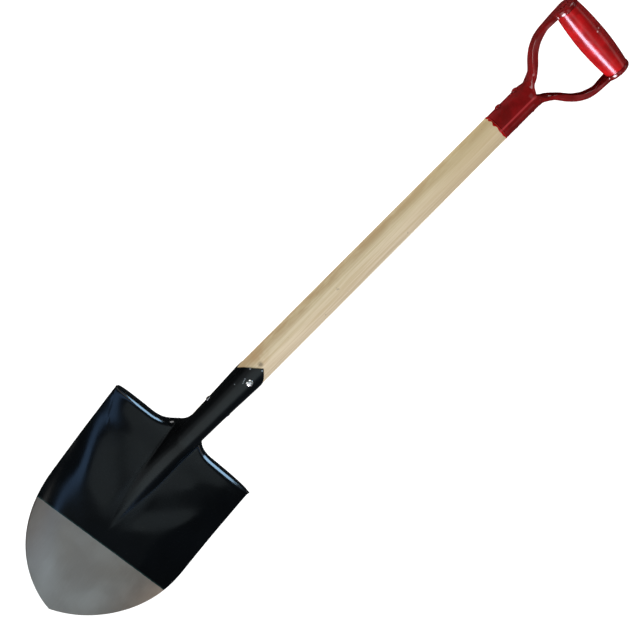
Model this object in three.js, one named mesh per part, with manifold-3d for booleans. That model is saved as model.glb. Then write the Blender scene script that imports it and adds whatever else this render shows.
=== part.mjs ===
// Round-point digging shovel (garden spade) with a riveted Y-shaped grip.
//
// Everything is laid out along the handle: +Y runs up the handle towards the grip, +X is across it,
// and +Z is the front, the side that the blade's dish opens to. The shapes are worked out about the
// handle's own centre line. At the end the whole spade is moved so that the origin lies at the middle
// of the underside of its bounding box, as it rests on its back. All sizes are in millimetres.

import * as THREE from "three";
import { mergeVertices } from "three/addons/utils/BufferGeometryUtils.js";
import Module from "manifold-3d";

const wasm = await Module();
wasm.setup();

// ---------- driving dimensions ----------

const GAP = 0.3; // clearance between pieces that touch

// Sheet-steel blade with its socket, pressed from one plate.
const SHEET = 1.8;
const NECK_Y = -200; // where the socket is narrowest
const NECK_RADIUS = 16.8;
const MOUTH_Y = -118; // the socket's mouth at its sides
const MOUTH_FLARE = 2.8; // how much wider the mouth's radius is than the neck's
const TONGUE_LENGTH = 25; // the mouth's front and back stand this much further up the wood
const SEAM_ANGLE = THREE.MathUtils.degToRad(175.5); // where the rolled edges stop, behind
const SEAM_OPEN_Y = -145; // below this the rolled edges part, towards the neck
const SHOULDER_Y = -233;
const SHOULDER_HALF_WIDTH = 116.7;
const SHOULDER_DIP = 1.5; // the shoulders' inner ends stand this much further from the grip
const FILLET = 38; // curve between socket and shoulder
const TREAD_WIDTH = 11; // shoulder edge turned back as a foot rest
const NECK_LIP = 4; // what is left of the turned-back edge at the neck
const TREAD_RADIUS = 5.5;
const SIDE_END_Y = -359; // straight sides end here
const SIDE_END_HALF_WIDTH = 111;
const POINT_Y = -490;
const POINT_SLOPE = 0.229; // angle of the edge at the point, in radians
const SIDE_PULL = 60; // reach of the rounded side's two control arms
const POINT_PULL = 68.7;

// Height of the plate about the handle's centre line, L being the distance below the shoulders.
const PLATE_DROP = 9;
const PLATE_RISE = 0.179;
const PLATE_CURVE = 0.0006;
const DISH_AT_SHOULDER = 11;
const DISH_FULL = 20.5;
const DISH_LENGTH = 157; // the dish reaches its full depth here
const DISH_EDGE_SHARE = 0.55; // share of the dish that curls up near the sides
const RIDGE_HEIGHT = 25; // hollow ridge that carries the socket's tube on into the blade
const RIDGE_LENGTH = 142;
const RIDGE_FADE = 2.4;
const RIDGE_STEEPEST = 0.94; // share of the neck's radius past which the ridge's flanks are straight
const RIDGE_BLEND = 4; // softness of the bend between the ridge's flank and the plate
const NECK_BLEND = 30; // length over which the round socket turns into the ridged plate
const TREAD_BEND = 40; // the turned-back shoulder edge bends round this radius

// Where the rows of the sheet cross its middle line, for each stretch of its outline.
const MIDDLE_AT_SHOULDER = -246;
const MIDDLE_AT_CORNER = -322;
const MIDDLE_AT_SIDE_END = -392;

// Wooden shaft.
const WOOD_RADIUS_LOW = 19;
const WOOD_RADIUS_HIGH = 18.2;
const TENON_CLEARANCE = 0.5; // round the tenon in the blade's socket
const TENON_SHORT = 8; // the tenon stops this far below the crotch of the grip

// Grip: two pressed half shells, a barrel-shaped tube and its rod.
const YOKE_SHEET = 1.5;
const YOKE_RADIUS = 17.7;
const YOKE_START_Y = 325;
const CROTCH_Y = 382.5;
const ARM_CORNER = 3.5;
const EAR_RADIUS = 16;
const EAR_OUTER_X = 56.5;
const EAR_INNER_X = 50;
const GRIP_Y = 478.2;
const GRIP_FORWARD = 14.5; // the grip stands this far in front of the handle's centre line
const BAR_MID_RADIUS = 18.9;
const BAR_END_RADIUS = 15.4;
const BAR_WALL = 1.4;
const BAR_END_CLEARANCE = 2.2; // keeps the tube's ends off the rounded inside of the ears

// The arms of the grip, each as [distance along the handle, size there].
const ARM_OUTER_X = [[387, 17.7], [396, 23.6], [408, 37.8], [420, 48.5], [432, 54.4], [445, 56.5]];
const ARM_INNER_X = [[382.5, 0.15], [390, 11], [398, 15.5], [408, 24.3], [420, 37.6], [432, 45.6], [448, 50]];
const ARM_HALF_DEPTH = [[376, 17.7], [390, 13], [405, 8.5], [422, 6.5], [440, 6.5], [462, 9.6]];
const ARM_CENTRE_Z = [[375, 0], [384, 2.6], [408, 7.3], [432, 10.2], [448, 11], [462, 10.5]];
const EAR_BLEND = 5; // softness of the bend between the arm's edge and the ear's
const EAR_BLEND_LENGTH = 14; // over which that softness fades towards the ear's middle
const HOLLOW_REACH = 12; // how far the hollow runs past the shell's open side
const SOCKET_STATIONS = [350, 374, 378, CROTCH_Y, 384, 386, 388.5, 391.5, 395]; // cuts up to the arm
const ARM_STATIONS = { from: 399, to: 462, step: 4.5 }; // cuts along the arm
const EAR_STATIONS = { from: -1.2, to: 1.52, steps: 15 }; // cuts round the ear, as angles from its middle
const THROUGH_ALL = 40; // half the length of a drill that passes right through a socket
const ARM_CORNER_RADIUS = [[376, 17.7], [416, 3.5]];

// Rivets.
const FRONT_RIVET_Y = -117.6;
const SIDE_RIVET_Y = -171.4;
const YOKE_RIVET_YS = { lower: 342.4, upper: 370.8 };

// Each rivet's shank, and its hammered head and tail: a low dome with a flat top.
const FRONT_RIVET = { shank: 2.6, head: [4.6, 2.2], tail: [4, 1.4] };
const SIDE_RIVET = { shank: 2.4, head: [4, 1.5], tail: [3.6, 1.3] };
const YOKE_RIVET = { shank: 2.5, head: [4.6, 1.9], tail: [3.4, 1.5] };
const GRIP_ROD = { shank: 4, head: [6.5, 1.2], tail: [6.5, 1.2] };
const FLAT_TOP = 0.45; // share of a head's radius that is flat
const WASHER_RADIUS = 7;
const WASHER_THICKNESS = 1.2;

// ---------- small helpers ----------

const clamp01 = (t) => Math.min(1, Math.max(0, t));
const smooth = (t) => {
  const c = clamp01(t);
  return c * c * (3 - 2 * c);
};
const mix = (a, b, t) => a + (b - a) * t;

/** A smooth curve through [y, value] points that never swings past them, level at both ends. */
function through(points, y) {
  const last = points.length - 1;
  if (y <= points[0][0]) return points[0][1];
  if (y >= points[last][0]) return points[last][1];
  const rise = (i) => (points[i + 1][1] - points[i][1]) / (points[i + 1][0] - points[i][0]);
  const slope = (i) => {
    if (i === 0 || i === last || rise(i - 1) * rise(i) <= 0) return 0;
    return (2 * rise(i - 1) * rise(i)) / (rise(i - 1) + rise(i));
  };
  const i = points.findLastIndex((point) => point[0] <= y);
  const length = points[i + 1][0] - points[i][0];
  const t = (y - points[i][0]) / length;
  const swing = slope(i) * (1 - t) - slope(i + 1) * t;
  return mix(points[i][1], points[i + 1][1], smooth(t)) + length * t * (1 - t) * swing;
}

/** A closed geometry as a manifold solid. */
function toSolid(geometry) {
  const bare = geometry.clone();
  for (const name of Object.keys(bare.attributes)) {
    if (name !== "position") bare.deleteAttribute(name);
  }
  const merged = mergeVertices(bare, 1e-4);
  const index = merged.index.array;
  return new wasm.Manifold(
    new wasm.Mesh({
      numProp: 3,
      vertProperties: new Float32Array(merged.attributes.position.array),
      triVerts: new Uint32Array(index),
    }),
  );
}

/** A manifold solid as a geometry for a mesh. */
function toGeometry(solid) {
  const mesh = solid.getMesh();
  const geometry = new THREE.BufferGeometry();
  const positions = new Float32Array(mesh.vertProperties);
  geometry.setAttribute("position", new THREE.BufferAttribute(positions, 3));
  geometry.setIndex(new THREE.BufferAttribute(new Uint32Array(mesh.triVerts), 1));
  geometry.computeVertexNormals();
  return geometry;
}

/** A lathed solid; profile points are [radius, distance along the axis], turned about Y. */
function lathed(profile, segments) {
  const points = profile.map(([radius, along]) => new THREE.Vector2(radius, along));
  return new THREE.LatheGeometry(points, segments);
}

/** A round bar from one point to another. */
function roundBar(from, to, radius, segments = 20) {
  const a = new THREE.Vector3(...from);
  const b = new THREE.Vector3(...to);
  const length = a.distanceTo(b);
  const geometry = new THREE.CylinderGeometry(radius, radius, length, segments);
  const turn = new THREE.Quaternion().setFromUnitVectors(
    new THREE.Vector3(0, 1, 0),
    b.clone().sub(a).normalize(),
  );
  geometry.applyQuaternion(turn);
  geometry.translate((a.x + b.x) / 2, (a.y + b.y) / 2, (a.z + b.z) / 2);
  return geometry;
}

// ---------- the blade's surface ----------

const shoulderTopY = SHOULDER_Y - SHOULDER_DIP;

/** Outer radius of the socket at y. */
function socketRadius(y) {
  const t = clamp01((y - NECK_Y) / (MOUTH_Y - NECK_Y));
  return NECK_RADIUS + MOUTH_FLARE * t ** 1.3;
}

/** The blade's outline on the +X side, as a list of curves from the neck to the point. */
const filletCurve = new THREE.QuadraticBezierCurve(
  new THREE.Vector2(NECK_RADIUS, NECK_Y),
  new THREE.Vector2(NECK_RADIUS, shoulderTopY),
  new THREE.Vector2(NECK_RADIUS + FILLET, shoulderTopY),
);
const shoulderCurve = new THREE.QuadraticBezierCurve(
  new THREE.Vector2(NECK_RADIUS + FILLET, shoulderTopY),
  new THREE.Vector2(SHOULDER_HALF_WIDTH * 0.75, shoulderTopY),
  new THREE.Vector2(SHOULDER_HALF_WIDTH, SHOULDER_Y),
);
const sideCurve = new THREE.LineCurve(
  new THREE.Vector2(SHOULDER_HALF_WIDTH, SHOULDER_Y),
  new THREE.Vector2(SIDE_END_HALF_WIDTH, SIDE_END_Y),
);
const sideDirection = sideCurve.getTangent(1);
const pointCurve = new THREE.CubicBezierCurve(
  new THREE.Vector2(SIDE_END_HALF_WIDTH, SIDE_END_Y),
  new THREE.Vector2(SIDE_END_HALF_WIDTH, SIDE_END_Y).addScaledVector(sideDirection, SIDE_PULL),
  new THREE.Vector2(POINT_PULL * Math.cos(POINT_SLOPE), POINT_Y + POINT_PULL * Math.sin(POINT_SLOPE)),
  new THREE.Vector2(0, POINT_Y),
);

// The edge that is rolled back, as a chain of points: fillet and shoulder.
const rolledEdge = [];
for (const curve of [filletCurve, shoulderCurve]) {
  rolledEdge.push(...curve.getSpacedPoints(40));
}

/** Distance from (x, y) to the rolled edge, or beside the socket to the socket's side. */
function distanceToRolledEdge(x, y) {
  let best = y > NECK_Y ? Math.abs(socketRadius(y) - x) : Infinity;
  for (let i = 1; i < rolledEdge.length; i++) {
    const a = rolledEdge[i - 1];
    const b = rolledEdge[i];
    const dx = b.x - a.x;
    const dy = b.y - a.y;
    const t = clamp01(((x - a.x) * dx + (y - a.y) * dy) / (dx * dx + dy * dy || 1));
    best = Math.min(best, Math.hypot(x - a.x - t * dx, y - a.y - t * dy));
  }
  return best;
}

/** Radius of the roll at the shoulder, which runs out to nothing at the corner. */
function treadFade(x) {
  const t = clamp01((x - NECK_RADIUS - FILLET) / (SHOULDER_HALF_WIDTH - NECK_RADIUS - FILLET));
  return Math.sqrt(Math.max(0, 1 - t ** 4));
}

/** How far a surface has dropped at distance d from an edge that is rolled to a radius. */
function rollDrop(radius, d) {
  const inside = Math.max(0, radius - d);
  return radius - Math.sqrt(Math.max(0, radius * radius - inside * inside));
}

/** Height of the front surface, z, over the outline. */
function frontHeight(x, y) {
  const below = SHOULDER_Y - y;
  const centre = -PLATE_DROP + PLATE_RISE * below + PLATE_CURVE * below * Math.abs(below);
  const depth = mix(DISH_AT_SHOULDER, DISH_FULL, Math.min(1.5, Math.max(0, below / DISH_LENGTH)));
  const taper = (SHOULDER_HALF_WIDTH - SIDE_END_HALF_WIDTH) / (SHOULDER_Y - SIDE_END_Y);
  const q = x / (SHOULDER_HALF_WIDTH - taper * Math.max(0, below));
  const dish = depth * ((1 - DISH_EDGE_SHARE) * q ** 2 + DISH_EDGE_SHARE * q ** 4);
  const plate = centre + dish;
  const lift = RIDGE_HEIGHT * Math.max(0, 1 - Math.max(0, below) / RIDGE_LENGTH) ** RIDGE_FADE;
  const steep = RIDGE_STEEPEST * NECK_RADIUS;
  const near = Math.min(x, steep);
  const tube = Math.sqrt(NECK_RADIUS ** 2 - near ** 2);
  const ridge = centre + lift - NECK_RADIUS + tube - (x - near) * (steep / tube);
  const soft = Math.min(RIDGE_BLEND, 0.5 * lift);
  const pressed = (plate + ridge + Math.hypot(plate - ridge, soft)) / 2;
  const d = distanceToRolledEdge(x, y);
  const rolled = pressed - rollDrop(TREAD_RADIUS * treadFade(x), d);
  const radius = socketRadius(y);
  const round = radius - rollDrop(radius, d);
  return mix(round, rolled, smooth((NECK_Y - y) / NECK_BLEND));
}

/**
 * One row of the sheet, from the middle out to the edge and on round the rolled back edge.
 * It is a curve in plan from (0, middleY) to the outline, then the flange behind the outline.
 */
function sheetRow({ end, middleY, reach, flange, flangeRadius, outward }, columns) {
  const FINE = 160;
  const CROWDING = 1.6; // draws the finer steps towards the far end
  const points = [];
  for (let k = 0; k <= FINE; k++) {
    const t = 1 - (1 - k / FINE) ** CROWDING;
    const x = 2 * t * (1 - t) * reach * end.x + t * t * end.x;
    const y = (1 - t) ** 2 * middleY + 2 * t * (1 - t) * middleY + t * t * end.y;
    points.push(new THREE.Vector3(x, y, frontHeight(x, y)));
  }
  const rim = points[FINE];
  if (flange > 0) {
    const TURN = 40;
    for (let k = 1; k <= TURN; k++) {
      const a = (flange * k) / TURN / flangeRadius;
      const inward = flangeRadius * (1 - Math.cos(a));
      const x = rim.x - outward.x * inward;
      const y = rim.y - outward.y * inward;
      points.push(new THREE.Vector3(x, y, rim.z - flangeRadius * Math.sin(a)));
    }
  }
  // Spread the columns evenly over length plus turning, so that tight bends get more of them.
  const TURN_LENGTH = 7;
  const measure = [0];
  for (let k = 1; k < points.length; k++) {
    let step = points[k].distanceTo(points[k - 1]);
    if (k > 1) {
      const before = points[k - 1].clone().sub(points[k - 2]);
      step += TURN_LENGTH * before.angleTo(points[k].clone().sub(points[k - 1]));
    }
    measure.push(measure[k - 1] + step);
  }
  const row = [];
  let k = 1;
  for (let j = 0; j <= columns; j++) {
    const wanted = (measure.at(-1) * j) / columns;
    while (k < points.length - 1 && measure[k] < wanted) k++;
    const t = clamp01((wanted - measure[k - 1]) / (measure[k] - measure[k - 1]));
    row.push(points[k - 1].clone().lerp(points[k], t));
  }
  return row;
}

/** All rows of the front surface, from the socket's mouth down to just above the point. */
function bladeRows(columns) {
  const rows = [];
  const SOCKET_ROWS = 9;
  const wrap = SEAM_ANGLE - Math.PI / 2;
  for (let i = 0; i < SOCKET_ROWS; i++) {
    const t = i / SOCKET_ROWS;
    const y = mix(MOUTH_Y, NECK_Y, t);
    const radius = socketRadius(y);
    const row = sheetRow(
      {
        end: new THREE.Vector2(radius, y),
        middleY: y,
        reach: 0.5,
        flange: mix(radius * wrap, NECK_LIP, smooth((SEAM_OPEN_Y - y) / (SEAM_OPEN_Y - NECK_Y))),
        flangeRadius: radius,
        outward: new THREE.Vector2(1, 0),
      },
      columns,
    );
    // The mouth's front and back run up the wood as tongues.
    for (const p of row) {
      const quarters = Math.atan2(p.x, p.z) / (Math.PI / 2);
      p.y += TONGUE_LENGTH * Math.abs(1 - quarters) * (1 - t) ** 2;
      const stretch = socketRadius(p.y) / radius;
      p.x *= stretch;
      p.z *= stretch;
    }
    rows.push(row);
  }
  const stretches = [
    { curve: filletCurve, count: 8, from: NECK_Y, to: MIDDLE_AT_SHOULDER, reach: [0.5, 0.92] },
    { curve: shoulderCurve, count: 9, from: MIDDLE_AT_SHOULDER, to: MIDDLE_AT_CORNER, reach: [0.92, 0.66] },
    { curve: sideCurve, count: 8, from: MIDDLE_AT_CORNER, to: MIDDLE_AT_SIDE_END, reach: [0.66, 0.5] },
    { curve: pointCurve, count: 11, from: MIDDLE_AT_SIDE_END, to: POINT_Y, reach: [0.5, 0.5] },
  ];
  for (const { curve, count, from, to, reach } of stretches) {
    for (let i = 0; i < count; i++) {
      const t = i / count;
      const end = curve.getPointAt(t);
      const along = curve.getTangentAt(t);
      const rolled = curve === filletCurve || curve === shoulderCurve;
      const turned = curve === filletCurve ? smooth(t) : 1;
      const width = mix(NECK_LIP, TREAD_WIDTH, smooth((end.x - NECK_RADIUS - FILLET / 2) / FILLET));
      const flange = rolled ? width * treadFade(end.x) : 0;
      rows.push(
        sheetRow(
          {
            end,
            middleY: mix(from, to, t),
            reach: mix(reach[0], reach[1], t),
            flange,
            flangeRadius: mix(NECK_RADIUS, TREAD_BEND, turned),
            outward: new THREE.Vector2(-along.y, along.x),
          },
          columns,
        ),
      );
    }
  }
  return rows;
}

/** A sheet of even thickness behind a front surface of mirrored rows that end in one point. */
function pressedSheet(halfRows, pole, thickness) {
  const mirrored = (p) => new THREE.Vector3(-p.x, p.y, p.z);
  const rows = halfRows.map((row) => [...row.slice(1).reverse().map(mirrored), ...row]);
  const width = rows[0].length;
  const last = rows.length - 1;
  const normalAt = (i, j) => {
    const left = rows[i][Math.max(0, j - 1)];
    const right = rows[i][Math.min(width - 1, j + 1)];
    const up = rows[Math.max(0, i - 1)][j];
    const down = i === last ? pole : rows[i + 1][j];
    return right.clone().sub(left).cross(up.clone().sub(down)).normalize();
  };
  const positions = [];
  const push = (p) => positions.push(p.x, p.y, p.z) / 3 - 1;
  const front = rows.map((row) => row.map(push));
  const frontPole = push(pole);
  const back = rows.map((row, i) =>
    row.map((p, j) => push(p.clone().addScaledVector(normalAt(i, j), -thickness))),
  );
  const backPole = push(pole.clone().add(new THREE.Vector3(0, 0, -thickness)));
  const index = [];
  const quad = (a, b, c, d) => index.push(a, b, c, a, c, d);
  for (let i = 0; i < last; i++) {
    for (let j = 0; j < width - 1; j++) {
      quad(front[i][j], front[i + 1][j], front[i + 1][j + 1], front[i][j + 1]);
      quad(back[i][j], back[i][j + 1], back[i + 1][j + 1], back[i + 1][j]);
    }
    quad(front[i][0], back[i][0], back[i + 1][0], front[i + 1][0]);
    quad(front[i][width - 1], front[i + 1][width - 1], back[i + 1][width - 1], back[i][width - 1]);
  }
  for (let j = 0; j < width - 1; j++) {
    quad(front[0][j], front[0][j + 1], back[0][j + 1], back[0][j]);
    index.push(front[last][j], frontPole, front[last][j + 1]);
    index.push(back[last][j], back[last][j + 1], backPole);
  }
  quad(front[last][0], back[last][0], backPole, frontPole);
  quad(frontPole, backPole, back[last][width - 1], front[last][width - 1]);
  const geometry = new THREE.BufferGeometry();
  geometry.setAttribute("position", new THREE.Float32BufferAttribute(positions, 3));
  geometry.setIndex(index);
  return geometry;
}

// ---------- blade ----------

const frontRivetSurface = socketRadius(FRONT_RIVET_Y);
const sideRivetSurface = socketRadius(SIDE_RIVET_Y);

function makeBlade() {
  const pole = new THREE.Vector3(0, POINT_Y, frontHeight(0, POINT_Y));
  const sheet = toSolid(pressedSheet(bladeRows(17), pole, SHEET));
  const back = [0, FRONT_RIVET_Y, -THROUGH_ALL];
  const frontHole = roundBar(back, [0, FRONT_RIVET_Y, THROUGH_ALL], FRONT_RIVET.shank + GAP);
  const left = [-THROUGH_ALL, SIDE_RIVET_Y, 0];
  const sideHole = roundBar(left, [THROUGH_ALL, SIDE_RIVET_Y, 0], SIDE_RIVET.shank + GAP);
  return toGeometry(sheet.subtract(toSolid(frontHole)).subtract(toSolid(sideHole)));
}

// ---------- wooden shaft ----------

function makeShaft() {
  const insideSocket = (y) => socketRadius(y) - SHEET - TENON_CLEARANCE;
  const profile = [
    [0, NECK_Y - 5],
    [10, NECK_Y - 5],
  ];
  const STEPS = 8;
  const stepY = MOUTH_Y + GAP;
  for (let i = 0; i <= STEPS; i++) {
    const y = mix(NECK_Y, stepY, i / STEPS);
    profile.push([insideSocket(y), y]);
  }
  const yokeTenon = YOKE_RADIUS - YOKE_SHEET - GAP;
  profile.push([WOOD_RADIUS_LOW, stepY]);
  profile.push([WOOD_RADIUS_LOW, stepY + 40]);
  profile.push([WOOD_RADIUS_HIGH, YOKE_START_Y - GAP]);
  profile.push([yokeTenon, YOKE_START_Y - GAP]);
  profile.push([yokeTenon, CROTCH_Y - TENON_SHORT]);
  profile.push([0, CROTCH_Y - TENON_SHORT]);
  let wood = toSolid(lathed(profile, 48));

  // Recesses under the socket's tongues: the part of a ring that lies below their outline.
  const mouthInside = insideSocket(MOUTH_Y);
  const ring = toSolid(
    lathed(
      [
        [mouthInside, MOUTH_Y - 1],
        [WOOD_RADIUS_LOW + 4, MOUTH_Y - 1],
        [WOOD_RADIUS_LOW + 4, MOUTH_Y + TONGUE_LENGTH + GAP],
        [mouthInside, MOUTH_Y + TONGUE_LENGTH + GAP],
        [mouthInside, MOUTH_Y - 1],
      ],
      48,
    ),
  );
  const outline = new THREE.Shape();
  const reach = WOOD_RADIUS_LOW + 4;
  outline.moveTo(-reach, MOUTH_Y - 2);
  outline.lineTo(reach, MOUTH_Y - 2);
  const TURNS = 16;
  for (let i = 0; i <= TURNS; i++) {
    const angle = mix(Math.PI / 2, -Math.PI / 2, i / TURNS);
    const share = 1 - Math.abs(angle) / (Math.PI / 2);
    outline.lineTo(reach * Math.sin(angle), MOUTH_Y + TONGUE_LENGTH * share + 2 * GAP);
  }
  const prism = new THREE.ExtrudeGeometry(outline, { depth: 2 * reach, bevelEnabled: false });
  prism.translate(0, 0, -reach);
  wood = wood.subtract(ring.intersect(toSolid(prism)));

  // Drilled for the rivets.
  const drill = (from, to, radius) => toSolid(roundBar(from, to, radius + GAP));
  const back = [0, FRONT_RIVET_Y, -THROUGH_ALL];
  wood = wood.subtract(drill(back, [0, FRONT_RIVET_Y, THROUGH_ALL], FRONT_RIVET.shank));
  const left = [-THROUGH_ALL, SIDE_RIVET_Y, 0];
  wood = wood.subtract(drill(left, [THROUGH_ALL, SIDE_RIVET_Y, 0], SIDE_RIVET.shank));
  for (const y of Object.values(YOKE_RIVET_YS)) {
    wood = wood.subtract(drill([-THROUGH_ALL, y, 0], [THROUGH_ALL, y, 0], YOKE_RIVET.shank));
  }
  return toGeometry(wood);
}

// ---------- grip ----------

/**
 * Outline of the +X half shell at a distance y along the handle, drawn in by an inset.
 * It is a bracket open towards the middle: two legs, a web, and a rounded corner between them.
 */
function yokeSection(y, inset) {
  const fromEnd = Math.max(0, GRIP_Y + EAR_RADIUS - inset - y);
  const webX = through(ARM_OUTER_X, y) - inset - rollDrop(Math.max(0.4, ARM_CORNER - inset), fromEnd);
  const innerX = through(ARM_INNER_X, y);
  const armDepth = through(ARM_HALF_DEPTH, y) - inset;
  const armZ = through(ARM_CENTRE_Z, y);
  const earSpan = (EAR_RADIUS - inset) ** 2 - (y - GRIP_Y) ** 2;
  const earDepth = Math.sqrt(Math.max(0, earSpan));
  const soft = EAR_BLEND * clamp01((GRIP_Y - y) / EAR_BLEND_LENGTH);
  const outermost = (arm, ear) => (y < GRIP_Y ? (arm + ear + Math.hypot(arm - ear, soft)) / 2 : ear);
  const front = outermost(armZ + armDepth, GRIP_FORWARD + earDepth);
  const back = -outermost(armDepth - armZ, earDepth - GRIP_FORWARD);
  return {
    webX,
    innerX: inset > 0 ? Math.min(innerX, webX) - HOLLOW_REACH : innerX,
    depth: (front - back) / 2,
    corner: through(ARM_CORNER_RADIUS, y) - inset,
    centreZ: (front + back) / 2,
  };
}

/** The bracket's closed outline as points, the same number for every section. */
function sectionLoop(y, inset) {
  const { webX, innerX, depth, corner, centreZ } = yokeSection(y, inset);
  const r = Math.max(0.02, Math.min(corner, depth, webX - innerX));
  const ARC = 7;
  const loop = [];
  for (const side of [1, -1]) {
    const arc = [];
    for (let k = 0; k <= ARC; k++) {
      const a = (k / ARC) * (Math.PI / 2);
      const x = webX - r + r * Math.sin(a);
      const z = side * (depth - r + r * Math.cos(a));
      arc.push([x, z]);
    }
    const leg = [
      [innerX, side * depth],
      [mix(innerX, webX - r, 0.5), side * depth],
    ];
    const half = [...leg, ...arc];
    loop.push(...(side > 0 ? half : half.reverse()));
  }
  return loop.map(([x, z]) => new THREE.Vector3(x, y, z + centreZ));
}

/** A solid through a row of closed loops of equal count, with flat ends. */
function loftSolid(loops) {
  const count = loops[0].length;
  const positions = [];
  for (const loop of loops) {
    for (const p of loop) positions.push(p.x, p.y, p.z);
  }
  const index = [];
  for (let i = 0; i < loops.length - 1; i++) {
    for (let j = 0; j < count; j++) {
      const a = i * count + j;
      const b = i * count + ((j + 1) % count);
      index.push(a, b + count, a + count, a, b, b + count);
    }
  }
  const cap = (loop, base, flip) => {
    const centre = new THREE.Vector3();
    for (const p of loop) centre.add(p);
    centre.divideScalar(count);
    const middle = positions.length / 3;
    positions.push(centre.x, centre.y, centre.z);
    for (let j = 0; j < count; j++) {
      const a = base + j;
      const b = base + ((j + 1) % count);
      index.push(...(flip ? [middle, b, a] : [middle, a, b]));
    }
  };
  cap(loops[0], 0, true);
  cap(loops.at(-1), (loops.length - 1) * count, false);
  const geometry = new THREE.BufferGeometry();
  geometry.setAttribute("position", new THREE.Float32BufferAttribute(positions, 3));
  geometry.setIndex(index);
  return toSolid(geometry);
}

/** Distances along the handle at which the half shell is cut, closer where it changes fast. */
function yokeStations(inset) {
  const stations = [inset > 0 ? YOKE_START_Y - 5 : YOKE_START_Y, ...SOCKET_STATIONS];
  for (let y = ARM_STATIONS.from; y < ARM_STATIONS.to; y += ARM_STATIONS.step) stations.push(y);
  const radius = EAR_RADIUS - inset;
  for (let i = 0; i <= EAR_STATIONS.steps; i++) {
    const angle = mix(EAR_STATIONS.from, EAR_STATIONS.to, i / EAR_STATIONS.steps);
    stations.push(GRIP_Y + radius * Math.sin(angle));
  }
  return stations;
}

function makeYokeHalf(side) {
  const outer = loftSolid(yokeStations(0).map((y) => sectionLoop(y, 0)));
  const hollow = loftSolid(yokeStations(YOKE_SHEET).map((y) => sectionLoop(y, YOKE_SHEET)));
  let shell = outer.subtract(hollow);
  for (const y of Object.values(YOKE_RIVET_YS)) {
    shell = shell.subtract(toSolid(roundBar([0, y, 0], [THROUGH_ALL, y, 0], YOKE_RIVET.shank + GAP)));
  }
  const rodHole = roundBar(
    [EAR_INNER_X, GRIP_Y, GRIP_FORWARD],
    [EAR_OUTER_X + 5, GRIP_Y, GRIP_FORWARD],
    GRIP_ROD.shank + GAP,
  );
  shell = shell.subtract(toSolid(rodHole));
  if (side < 0) shell = shell.mirror([1, 0, 0]);
  return toGeometry(shell);
}

function makeGripBar() {
  const half = EAR_OUTER_X - YOKE_SHEET - BAR_END_CLEARANCE;
  const belly = EAR_INNER_X - GAP;
  const tucked = EAR_RADIUS - YOKE_SHEET - GAP; // inside the ears
  const profile = [];
  const STEPS = 16;
  for (let i = 0; i <= STEPS; i++) {
    const x = mix(-belly, belly, i / STEPS);
    const swell = Math.cos((x / belly) * (Math.PI / 2)) ** 0.8;
    profile.push([mix(BAR_END_RADIUS, BAR_MID_RADIUS, swell), x]);
  }
  const bore = tucked - BAR_WALL;
  const outline = [[bore, -half], [tucked, -half], [tucked, -belly], ...profile];
  outline.push([tucked, belly], [tucked, half], [bore, half], [bore, -half]);
  const tube = lathed(outline, 40);
  tube.rotateZ(-Math.PI / 2);
  tube.translate(0, GRIP_Y, GRIP_FORWARD);
  return tube;
}

/** A rivet along Y, its shank between a head and a tail, turned as one piece. */
function rivet(halfLength, { shank, head, tail }) {
  const dome = ([radius, height]) => {
    const STEPS = 5;
    const points = [];
    for (let i = 0; i <= STEPS; i++) {
      const a = mix(0, Math.acos(FLAT_TOP), i / STEPS);
      points.push([radius * Math.cos(a), (height * Math.sin(a)) / Math.sin(Math.acos(FLAT_TOP))]);
    }
    points.push([0, height]);
    return points;
  };
  const bottom = dome(tail).map(([radius, height]) => [radius, -halfLength - height]);
  const top = dome(head).map(([radius, height]) => [radius, halfLength + height]);
  return lathed([...bottom.reverse(), [shank, -halfLength], [shank, halfLength], ...top], 20);
}

// ---------- assembly ----------

const paint = {
  black: { color: 0x0b0c0e, roughness: 0.25, metalness: 0.3 },
  red: { color: 0xb01020, roughness: 0.28, metalness: 0.1 },
  steel: { color: 0xb9bcbe, roughness: 0.3, metalness: 1 },
  wood: { color: 0xd9bd94, roughness: 0.75, metalness: 0 },
};

const pieces = new THREE.Group();

function addPiece(name, geometry, finish) {
  const mesh = new THREE.Mesh(geometry, new THREE.MeshStandardMaterial(finish));
  mesh.name = name;
  pieces.add(mesh);
  return mesh;
}

addPiece("blade", makeBlade(), paint.black);
addPiece("shaft", makeShaft(), paint.wood);

// Front rivet: its head is in front, its tail over a round washer that bridges the seam behind.
const frontShank = frontRivetSurface + GAP;
const frontBack = frontShank + WASHER_THICKNESS + GAP;
const frontRivet = rivet((frontShank + frontBack) / 2, FRONT_RIVET);
frontRivet.rotateX(Math.PI / 2);
frontRivet.translate(0, FRONT_RIVET_Y, (frontShank - frontBack) / 2);
addPiece("socket_front_rivet", frontRivet, paint.steel);

const washerBore = FRONT_RIVET.shank + GAP;
const washer = lathed(
  [
    [washerBore, -WASHER_THICKNESS / 2],
    [WASHER_RADIUS, -WASHER_THICKNESS / 2],
    [WASHER_RADIUS, WASHER_THICKNESS / 2],
    [washerBore, WASHER_THICKNESS / 2],
    [washerBore, -WASHER_THICKNESS / 2],
  ],
  24,
);
washer.rotateX(Math.PI / 2);
washer.translate(0, FRONT_RIVET_Y, -frontShank - WASHER_THICKNESS / 2);
addPiece("socket_rivet_washer", washer, paint.steel);

// The other rivets and the grip's rod run across, with their heads on the -X side.
function addCrossRivet(name, halfLength, sizes, y, z, finish) {
  const geometry = rivet(halfLength, sizes);
  geometry.rotateZ(Math.PI / 2);
  geometry.translate(0, y, z);
  addPiece(name, geometry, finish);
}

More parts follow.
